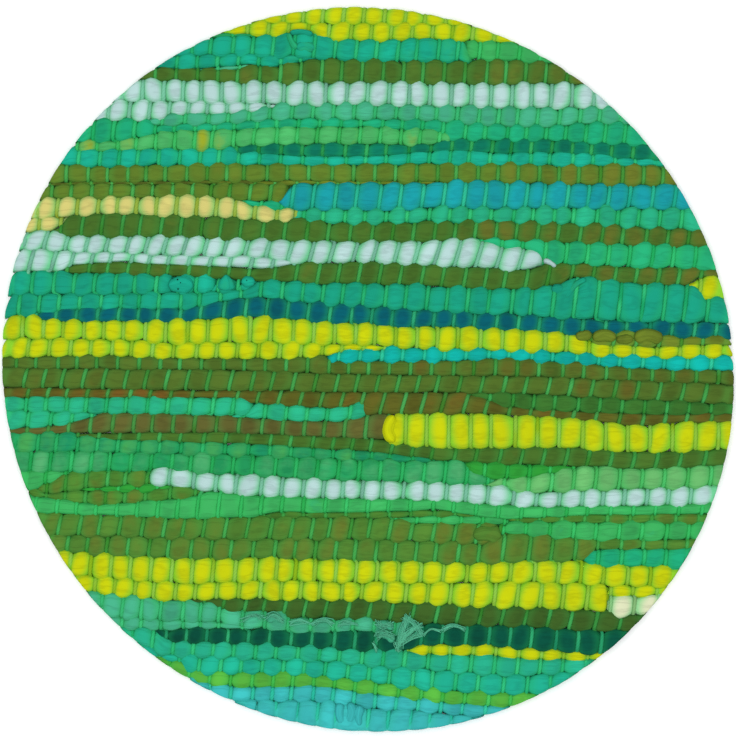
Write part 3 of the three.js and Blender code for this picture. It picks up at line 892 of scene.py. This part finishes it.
# Loops, lumps and crumpled ends that lie over the rows, and dark dots of painted shade: cloth, path as x:y
# along the fold, its width or the widths of its two ends, and its top.
curls = [
    ("green", "-34.8:147.2 -33.8:143.8 -31.2:140.4", 2.8, 9.2),
    ("seaDeep", "-34.2:147.4 -29:148.2 -24.3:146.6", 2.6, 9.1),
    ("teal", "-31.4:140.6 -27.6:142 -23.4:140.2", 5.6, 9.2),
    ("turquoise", "-87.4:36.4 -82:37.4 -76.8:36.2", 8.0, 9.2),
    ("teal", "-62.2:41.4 -62.2:34.4", (2.4, 11.6), 9.3),
    ("turquoise", "-55.6:38.2 -49.6:38.4", 5.4, 9.2),
    ("white", "77:47.6 79.4:47.2 82.4:44.8", (2.8, 2.0), 8.9),
    ("seaDeep", "80.4:35.2 86.6:34.6", 4.2, 8.9),
    ("seaDeep", "92:33.4 98.8:34", 8.0, 9.2),
    ("teal", "86.6:30.8 89:34.4 91.4:37.6 95.6:39.4", (2.4, 3.2), 9.6),
    ("ochre", "91.2:14 98.2:15.2", 4.8, 9.0),
    ("ochre", "98.6:13.6 104:15.2 108.8:13.4", 5.4, 9.2),
    ("ochre", "109:12.8 116.4:13.2", 4.2, 9.0),
    ("ochre", "117:13 123:15.4 129:12.8", 6.0, 9.3),
    ("lime", "11.4:-20.4 8.8:-25 9:-28.4 11.6:-32", 5.6, 9.9),
    ("fernOlive", "46.2:-73 52:-72 58.4:-73.6", 7.8, 9.1),
    ("sky", "-12:-146.6 -12.8:-151 -11.2:-155.6", 4.4, 9.4),
    ("sky", "-8.4:-146.4 -6.6:-150 -8.6:-155.4", (3.6, 5.6), 9.6),
    ("sky", "-3.4:-147.6 -4.6:-152.4 -3.6:-156.4", (5.2, 3.6), 9.4),
    ("mint", "3.6:-112.6 8:-111.8 11:-114.2", 3.8, 9.0),
    ("mint", "4.2:-115.8 8.6:-116.6 11.4:-119.8", 3.8, 8.9),
    ("mint", "13:-122 14.4:-116 17.4:-109.8", (2.6, 4.4), 9.0),
    ("mint", "13.4:-121 17:-115.6 22:-112", (2.4, 4.0), 9.1),
    ("mint", "13.8:-120.4 18:-117.8 23.4:-115.4", (2.0, 3.4), 9.0),
    ("mint", "-44.4:-110.4 -40.8:-108.4 -38:-110.8", 4.0, 8.9),
    # dark cloth dots set where the rows show dark pits: painted shade
    ("bottle", "-83.8:39.3 -83:39", 1.1, 9.7),
    ("bottle", "-82.4:37.9 -81.8:37.7", 1.0, 9.7),
    ("bottle", "-83.6:35 -82.8:35.1", 1.0, 9.7),
    ("bottle", "-53.4:38.9 -52.8:38.7", 1.0, 9.7),
]
# threads that have frayed out: path, how far they stray from it, and how many pairs
frays = [
    ("13.4:-121.4 14.6:-115 17.6:-108.8", 1.0, 12),
    ("13.4:-121 17.6:-115 23:-112.4", 0.9, 12),
    ("16:-108.6 19.6:-110.6 23.4:-116", 0.8, 10),
    ("14:-120.4 19:-117.4 23.6:-115.8", 0.7, 6),
    ("12.6:-119 12.4:-121 13.6:-123.4", 0.7, 6),
    ("24.6:-116.4 27.4:-113.4 31.8:-114.6", 0.4, 6),
    ("32.4:-114 36.8:-111.6 42.4:-113.8", 0.5, 8),
    ("3.4:-111.2 6.4:-112.8 10.6:-112", 1.0, 9),
    ("3.6:-117 7:-115.4 11:-117.4", 1.1, 8),
    ("2.4:-119.8 2.8:-121.4 3.8:-123.2", 0.5, 5),
    ("-34.6:-111.6 -30.6:-109.6 -26.4:-111.4", 0.8, 3),
    ("-25:-111.8 -20:-109 -15.6:-111.4", 0.8, 5),
    ("-13:-112 -9:-110.4 -5:-112.2", 0.7, 3),
    ("-55:-110.2 -50:-107.6 -46:-109.4", 0.8, 4),
    ("-45:-109 -41:-107 -37.6:-110.6", 0.8, 6),
]


curlForm = {
    "low": 4.0,             # down to where a lump reaches into its row
    "rings": 1.6,           # for each mm of its length,
    "leastRings": 9,        # but no fewer than this
    "jumps": 6,             # random widths along it
    "span": (0.02, 0.98),   # of its path, as shares of a half turn
    "sides": 16,
    "fullness": 0.85,
    "uneven": 0.1,
    "tipHeight": 0.4,
    "tint": 0.6,
    "edgeGreenShade": 0.6,       # how much of the warp's green and painted green shade reaches its edges and its ends
    "endGreenShade": 0.5,
}
thread = {
    "widths": (0.24, 0.5),
    "tops": (8.6, 9.8),
    "depth": 0.4,
    "sides": 5,
    "stray": (0.8, 1.0),    # along X and Y, as shares of what its row above says
    "colour": (92, 190, 150),
    "groove": 0.2,
}


def smoothPath(knots, steps):
    # rounds the corners off, then sets places along the path, closer together near its ends
    for _ in range(3):
        before, after = knots[:-1] * 0.75 + knots[1:] * 0.25, knots[:-1] * 0.25 + knots[1:] * 0.75
        knots = np.concatenate([knots[:1], np.stack([before, after], axis=1).reshape(-1, 2), knots[-1:]])
    run = runAlong(knots)
    at = run[-1] * (1 - np.cos(np.linspace(*curlForm["span"], steps) * np.pi)) / 2
    return np.stack([np.interp(at, run, knots[:, k]) for k in range(2)], axis=1), at, run[-1]


def curlTube(knots, width, top, low, sides, source):
    reach = np.linalg.norm(np.diff(knots, axis=0), axis=1).sum()
    line, at, total = smoothPath(knots, max(curlForm["leastRings"], int(reach * curlForm["rings"])))
    forward = directionOf(line)
    turn = np.linspace(0, 2 * np.pi, sides, endpoint=False)
    width = np.interp(at, (0, total), (width, width) if np.isscalar(width) else width)[:, None]
    fromEnd = np.minimum(at, total - at)[:, None] / np.minimum(width / 2, total / 2)
    ease = np.sqrt(1 - (1 - np.minimum(fromEnd, 1)) ** 2)
    jumps = jumpsAlong(at, total, curlForm["jumps"], source)[:, None]
    half = width / 2 * ease * (1 + curlForm["uneven"] * jumps)
    side, rise = np.cos(turn)[None], np.sin(turn)[None]
    offset = half * np.sign(side) * np.abs(side) ** curlForm["fullness"]
    tip = curlForm["tipHeight"]
    z = (top + low) / 2 + (top - low) / 2 * (tip + (1 - tip) * ease) * rise
    x, y = trimmed(line[:, :1] - forward[:, 1:] * offset, line[:, 1:] + forward[:, :1] * offset)
    sunk = np.hypot(curlForm["edgeGreenShade"] * np.abs(side), curlForm["endGreenShade"] * (1 - ease))
    tint, tone = np.full(x.shape, curlForm["tint"]), np.zeros(x.shape)
    return dict(points=np.stack([x, y, z], axis=2), lay=layOf(x, turn, sunk), tint=tint, tone=tone)


def curlsOf(cloth):
    tubes = []
    for number, (own, path, width, top) in enumerate(curls):
        if own == cloth:
            source = np.random.default_rng(seeds["curls"] + number)
            tubes.append(curlTube(readings(path).T, width, top, curlForm["low"], curlForm["sides"], source))
    return tubes


def frayTubes():
    source = np.random.default_rng(seeds["frays"])
    tubes = []
    for path, stray, count in frays:
        for _ in range(2 * count):
            knots = readings(path).T
            knots = knots + source.normal(0, stray, knots.shape) * np.array(thread["stray"])
            top = source.uniform(*thread["tops"])
            width = source.uniform(*thread["widths"])
            tubes.append(curlTube(knots, width, top, top - thread["depth"], thread["sides"], source))
    return tubes


for cloth in cloths:
    own = [(number, strip) for number, strip in enumerate(strips) if strip["cloth"] == cloth]
    tubes = [ragTube(strip, np.random.default_rng(seeds["rags"] + number)) for number, strip in own]
    piece = meshObject("rags_" + cloth, tubes + curlsOf(cloth), ragMaterial("rag_" + cloth, **cloths[cloth]))
    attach(piece, "root")
    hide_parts("rug")
frayed = meshObject("frays", frayTubes(), ragMaterial("frayedThread", thread["colour"], thread["groove"]))
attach(frayed, "root")
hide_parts("rug")


# the warp cords, over and under the strips
cordLook = {
    "sides": 7,
    "step": 1.25,           # between its rings
    "overlap": 0.37,        # reach of its bends, as a share of the strip's width
    "sink": 0.55,           # how far it sinks into the cloth, as a share of its radius
    "cutBack": 0.05,        # from the outline
    "clear": 0.3,           # that the first bend keeps from the cut
    "farthest": 156,
    "leastWidth": 0.6,      # of a strip that it bends round
    "uneven": 0.08,
    "bumps": 60,            # random widths along it,
    "tints": 40,            # and random tints
    "dyed": (22, 196, 92),  # a cord's own green
    "darkDyed": (56, 150, 50),
    "stain": 0.74,          # how much of the rags' dye and fluff it takes on
    "darkStain": 0.52,      # and between dark rags
    "brightFrom": 140,
    "roughness": 0.85,
    "twist": 620.0,         # turns of its plies for each metre
    "plies": 3.0,
    # painted shade in the grooves between the cord's plies
    "plyShade": 0.3,
    "plyShadeTint": (0.6, 0.75, 0.6),
    "bump": 0.45,
    "bumpDepth": 0.00025,
    "patches": 110.0,       # where it is paler or deeper
    "tint": 0.3,
    "deep": (36, 161, 58),
    "pale": (84, 188, 95),
    "wornDeep": (0.72, 0.88, 0.74),
    "fluff": 0.3,
    "fluffColour": (62, 210, 122),
    "fromRags": 0.9,
}
# how a cord bends over a strip and under it: place, as a share of its reach, and how far down it is there
overBends = ((1.3, 2.4), (1, 0.7), (0.6, 0), (-0.6, 0), (-1, 0.7), (-1.3, 2.4))
underBends = ((0.6, 0), (-0.6, 0))


def cordDye(cloth):
    colour = cloths[cloth]["colour"]
    own, stain = ("dyed", "stain") if max(colour) > cordLook["brightFrom"] else ("darkDyed", "darkStain")
    return dyed(stainedCords.get(cloth, blended(cordLook[own], colour, cordLook[stain])))


def cordPath(shed, i):
    stops = []
    for strip in strips:
        shows = strip["shed"] == shed
        x = strip["shows"][i] if shows else strip["hides"][i]
        if not covers(strip, x) or abs(x) > cordLook["farthest"]:
            continue
        low, high = outlineAt(x)
        upper = min(float(np.interp(x, across, strip["upper"])), high)
        lower = max(float(np.interp(x, across, strip["lower"])), low)
        if upper - lower >= cordLook["leastWidth"]:
            stops.append((upper, lower, x, shows, strip))
    stops.sort(key=lambda stop: -stop[0])
    sunk = weave["cordRadius"] * cordLook["sink"]
    points = []
    for upper, lower, x, shows, strip in stops:
        reach = (upper - lower) * cordLook["overlap"]
        z, bends, lean = weave["floorGap"] + weave["lowNip"] - sunk, underBends, 0
        if shows:
            z = crownOver(upper - lower) - weave["topNip"] * strip.get("bulge", 1) + sunk
            bends, lean = overBends, strip.get("lean", weave["lean"])
        y, dye = (upper + lower) / 2, cordDye(strip["cloth"])
        points += [(x + lean * reach * at, y + reach * at, z - down, *dye) for at, down in bends]
    return np.array(points)


def cordTube(points, source):
    low, high = outlineAt(points[:, 0])
    first, last = points[0].copy(), points[-1].copy()
    first[1], last[1] = high[0] - cordLook["cutBack"], low[-1] + cordLook["cutBack"]
    between = (points[:, 1] < first[1] - cordLook["clear"]) & (points[:, 1] > last[1] + cordLook["clear"])
    points = np.concatenate([[first], points[between], [last]])
    run = runAlong(points[:, :3])
    at = np.linspace(0, run[-1], int(run[-1] / cordLook["step"]))
    line = np.stack([np.interp(at, run, points[:, k]) for k in range(6)], axis=1)
    for _ in range(2):
        line[1:-1] = (line[:-2] + 2 * line[1:-1] + line[2:]) / 4
    line, near = line[:, :3], line[:, 3:]
    sideways = np.cross(directionOf(line), (0, 0, 1.0))
    sideways /= np.linalg.norm(sideways, axis=1)[:, None]
    upward = np.cross(sideways, directionOf(line))
    turn = np.linspace(0, 2 * np.pi, cordLook["sides"], endpoint=False)
    bumps = jumpsAlong(at, run[-1], cordLook["bumps"], source)
    radius = weave["cordRadius"] * (1 + cordLook["uneven"] * bumps)
    spokes = np.cos(turn)[None, :, None] * sideways[:, None] + np.sin(turn)[None, :, None] * upward[:, None]
    x, y, z = np.moveaxis(line[:, None] + radius[:, None, None] * spokes, 2, 0)
    x, y = trimmed(x, y)
    tint = jumpsAlong(at, run[-1], cordLook["tints"], source)
    at, tint, near = (np.repeat(values[:, None], len(turn), 1) for values in (at, tint, near))
    points = np.stack([x, y, np.maximum(z, weave["floorGap"])], axis=2)
    return dict(points=points, lay=layOf(at, turn, np.zeros(at.shape)), tint=tint, near=near)


def cordMaterial():
    material, tree, shader, place = newMaterial("warpCord", cordLook["roughness"])
    lay = partsOf(tree, attributeNode(tree, "lay", "Vector"))
    along = mathNode(tree, "MULTIPLY", lay[0], cordLook["twist"])
    wound = mathNode(tree, "ADD", along, mathNode(tree, "MULTIPLY", lay[1], cordLook["plies"]))
    wound = mathNode(tree, "MULTIPLY", wound, grain["halfTurn"])
    ply = mathNode(tree, "ABSOLUTE", mathNode(tree, "SINE", wound))
    tint = mathNode(tree, "MULTIPLY", attributeNode(tree, "tint", "Fac"), cordLook["tint"])
    pale = mathNode(tree, "ADD", tint, noiseNode(tree, place, cordLook["patches"]), clamp=True)
    own = mixColours(tree, pale, dyed(cordLook["deep"]), dyed(cordLook["pale"]))
    near = attributeNode(tree, "near", "Color")  # dye and fluff of the rags
    worn = mixColours(tree, 1.0, near, cordLook["wornDeep"], "MULTIPLY")
    fluffy = mixColours(tree, cordLook["fluff"], near, linear(cordLook["fluffColour"]))
    body = mixColours(tree, cordLook["fromRags"], own, mixColours(tree, pale, worn, fluffy))
    # painted shade in the grooves between the plies
    shade = mathNode(tree, "MULTIPLY_ADD", ply, -cordLook["plyShade"], cordLook["plyShade"])
    colour = mixColours(tree, shade, body, cordLook["plyShadeTint"], "MULTIPLY")
    tree.links.new(colour, shader.inputs["Base Color"])
    withBump(tree, shader, ply, cordLook["bump"], cordLook["bumpDepth"])
    return material


warpCord = cordMaterial()
for shed, name in enumerate(("cords_odd", "cords_even")):
    source = np.random.default_rng(seeds["cords"] + shed)
    paths = [cordPath(shed, i) for i in range(len(numbers))]
    piece = meshObject(name, [cordTube(path, source) for path in paths if len(path) > 2], warpCord)
    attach(piece, "root")
    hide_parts("rug")
print("warp cords made")

# floor, light and camera
studio = {
    "floor": 0.96,            # how pale the floor is,
    "floorDrift": 0.01,       # and how much that varies
    "floorGrain": 30.0,
    "floorReach": 3,
    "floorRoughness": 0.8,
    "lamps": (                # name, power, size, place
        ("topLamp", 13.2, 1.0, (-0.1, 0.12, 1.35)),
        ("keyLamp", 3.6, 0.9, (0.22, -0.45, 1.2)),
    ),
    "sky": (0.96, 0.98, 1.0, 1),
    "skyPower": 0.5,
    "lens": 100.0,
    "sensor": 36,
    "frameWidth": 0.32263,    # what the camera takes in, at this height
    "frameHeight": 0.008,
    "aim": (0, 0.00044),
}


def makeFloor():
    mesh = bpy.data.meshes.new("floor")
    reach, pale, drift = studio["floorReach"], studio["floor"], studio["floorDrift"]
    corners = [(-reach, -reach, 0), (reach, -reach, 0), (reach, reach, 0), (-reach, reach, 0)]
    mesh.from_pydata(corners, [], [(0, 1, 2, 3)])
    material, tree, shader, place = newMaterial("paleFloor", studio["floorRoughness"])
    cloudy = noiseNode(tree, place, studio["floorGrain"], 3.0)
    colour = mixColours(tree, cloudy, (pale - drift,) * 3, (pale + drift,) * 3)
    tree.links.new(colour, shader.inputs["Base Color"])
    mesh.materials.append(material)
    floor = placedObject("floor", mesh)


makeFloor()
for name, power, size, (x, y, z) in studio["lamps"]:
    lamp = bpy.data.lights.new(name, "AREA")
    lamp.energy = power
    lamp.size = size
    holder = placedObject(name, lamp)
    holder.location = (x, y, z)
    tilt, turn = np.arctan2(np.hypot(x, y), z), np.arctan2(x, -y)
    holder.rotation_euler = (float(tilt), 0.0, float(turn))  # towards the rug
world = bpy.data.worlds.new("room")
world.use_nodes = True
world.node_tree.nodes["Background"].inputs["Color"].default_value = studio["sky"]
world.node_tree.nodes["Background"].inputs["Strength"].default_value = studio["skyPower"]
bpy.context.scene.world = world
lens = bpy.data.cameras.new("camera")
lens.lens = studio["lens"]
lens.sensor_width = studio["sensor"]
camera = placedObject("camera", lens)
distance = studio["frameWidth"] * studio["lens"] / studio["sensor"]
camera.location = (*studio["aim"], studio["frameHeight"] + distance)
bpy.context.scene.camera = camera
bpy.context.scene.view_settings.view_transform = "Standard"
print("studio ready")
